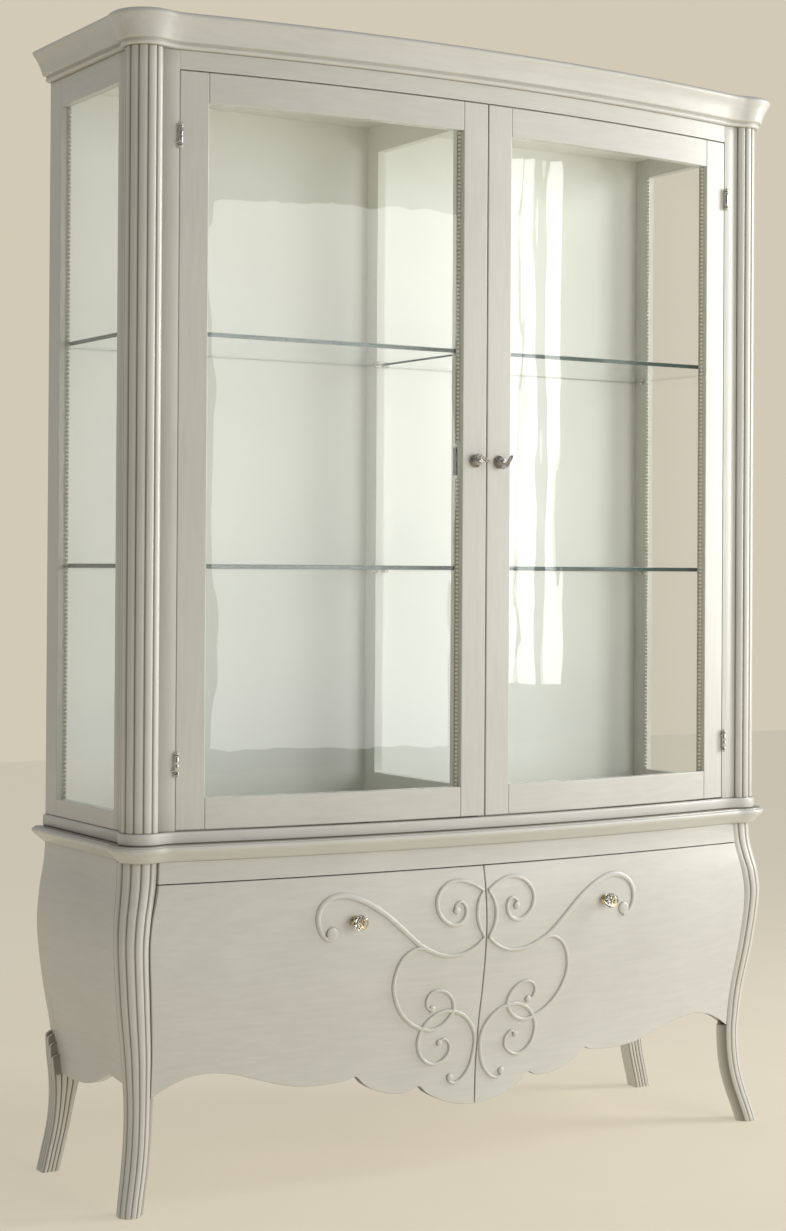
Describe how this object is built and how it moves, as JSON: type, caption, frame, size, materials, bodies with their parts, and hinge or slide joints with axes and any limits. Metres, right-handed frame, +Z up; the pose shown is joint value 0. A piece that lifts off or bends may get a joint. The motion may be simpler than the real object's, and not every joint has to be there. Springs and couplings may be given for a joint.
{
  "type": "curio cabinet",
  "caption": "Tall bow-fronted curio cabinet: glazed upper case with glass shelves on a bombe base with reeded sabre legs, scroll relief and crystal knobs.",
  "frame": {"origin": "on the floor, midway between the feet in X and midway between the cornice's front lip and the back in Y", "axes": "+Z up, +X to the right of a person facing the doors, the doors face -Y"},
  "size_m": [1.533, 0.492, 2.173],
  "materials": {
    "lacquer": "pearl off-white lacquer on wood, softly glossy",
    "liner_paint": "plain matt white paint on board",
    "clear_glass": "clear polished glass, faintly green at its edges",
    "crystal": "clear cut crystal",
    "gilt_metal": "polished gilt brass",
    "nickel": "polished nickel plate",
    "pewter": "antique pewter, burnished on the high parts",
    "black_steel": "black enamelled steel"
  },
  "bodies": {
    "case": {"leg_front_left": "lacquer", "leg_front_right": "lacquer", "leg_rear_left": "lacquer", "leg_rear_right": "lacquer", "base_side_left": "lacquer", "base_side_right": "lacquer", "base_frieze": "lacquer", "base_top": "lacquer", "plinth_board": "lacquer", "column_left": "lacquer", "column_right": "lacquer", "side_frame_left": "lacquer", "side_frame_right": "lacquer", "frieze": "lacquer", "cornice": "lacquer", "base_back": "liner_paint", "base_floor": "liner_paint", "base_shelf": "liner_paint", "upper_back": "liner_paint", "partition_frame": "liner_paint", "top_board": "liner_paint", "side_glass_left": "clear_glass", "side_glass_right": "clear_glass", "shelf_lower_left": "clear_glass", "shelf_lower_right": "clear_glass", "shelf_upper_left": "clear_glass", "shelf_upper_right": "clear_glass", "strike_plate": "nickel", "hinge_fixed_upper_left": "nickel", "hinge_fixed_upper_right": "nickel", "hinge_fixed_lower_left": "nickel", "hinge_fixed_lower_right": "nickel"},
    "upper_door_left_body": {"upper_door_left": "lacquer", "door_glass_left": "clear_glass", "hinge_moving_upper_left": "nickel", "hinge_moving_lower_left": "nickel", "rosette_left": "pewter", "lock_case_left": "black_steel"},
    "lever_left_body": {"lever_left": "pewter"},
    "bolt_left_body": {"bolt_left": "nickel"},
    "base_door_left_body": {"base_door_left": "lacquer", "scroll_relief_left": "lacquer", "knob_mount_left": "gilt_metal", "knob_crystal_left": "crystal", "base_hinge_upper_left": "nickel", "base_hinge_lower_left": "nickel"},
    "upper_door_right_body": {"upper_door_right": "lacquer", "door_glass_right": "clear_glass", "hinge_moving_upper_right": "nickel", "hinge_moving_lower_right": "nickel", "rosette_right": "pewter", "lock_case_right": "black_steel"},
    "lever_right_body": {"lever_right": "pewter"},
    "bolt_right_body": {"bolt_right": "nickel"},
    "base_door_right_body": {"base_door_right": "lacquer", "scroll_relief_right": "lacquer", "knob_mount_right": "gilt_metal", "knob_crystal_right": "crystal", "base_hinge_upper_right": "nickel", "base_hinge_lower_right": "nickel"}
  },
  "joints": [
    {"name": "upper_door_left_swing", "type": "hinge", "parent": "case", "child": "upper_door_left_body", "pos_m": [-0.641, -0.1575, 1.3815], "axis": [0, 0, -1], "range_deg": [0, 105]},
    {"name": "lever_left_turn", "type": "hinge", "parent": "upper_door_left_body", "child": "lever_left_body", "pos_m": [-0.028, -0.222, 1.377], "axis": [0, 1, 0], "range_deg": [0, 180]},
    {"name": "bolt_left_slide", "type": "slide", "parent": "upper_door_left_body", "child": "bolt_left_body", "axis": [1, 0, 0], "range_m": [0, 0.013]},
    {"name": "base_door_left_swing", "type": "hinge", "parent": "case", "child": "base_door_left_body", "pos_m": [-0.69485, -0.1672, 0.36], "axis": [0, 0, -1], "range_deg": [0, 100]},
    {"name": "upper_door_right_swing", "type": "hinge", "parent": "case", "child": "upper_door_right_body", "pos_m": [0.641, -0.1575, 1.3815], "axis": [0, 0, 1], "range_deg": [0, 105]},
    {"name": "lever_right_turn", "type": "hinge", "parent": "upper_door_right_body", "child": "lever_right_body", "pos_m": [0.028, -0.222, 1.377], "axis": [0, 1, 0], "range_deg": [0, 180]},
    {"name": "bolt_right_slide", "type": "slide", "parent": "upper_door_right_body", "child": "bolt_right_body", "axis": [-1, 0, 0], "range_m": [0, 0.013]},
    {"name": "base_door_right_swing", "type": "hinge", "parent": "case", "child": "base_door_right_body", "pos_m": [0.69485, -0.1672, 0.36], "axis": [0, 0, 1], "range_deg": [0, 100]}
  ],
  "couplings": [
    {"joint": "bolt_left_slide", "follows": "lever_left_turn", "m_per_rad": 0.004138},
    {"joint": "bolt_right_slide", "follows": "lever_right_turn", "m_per_rad": 0.004138}
  ]
}
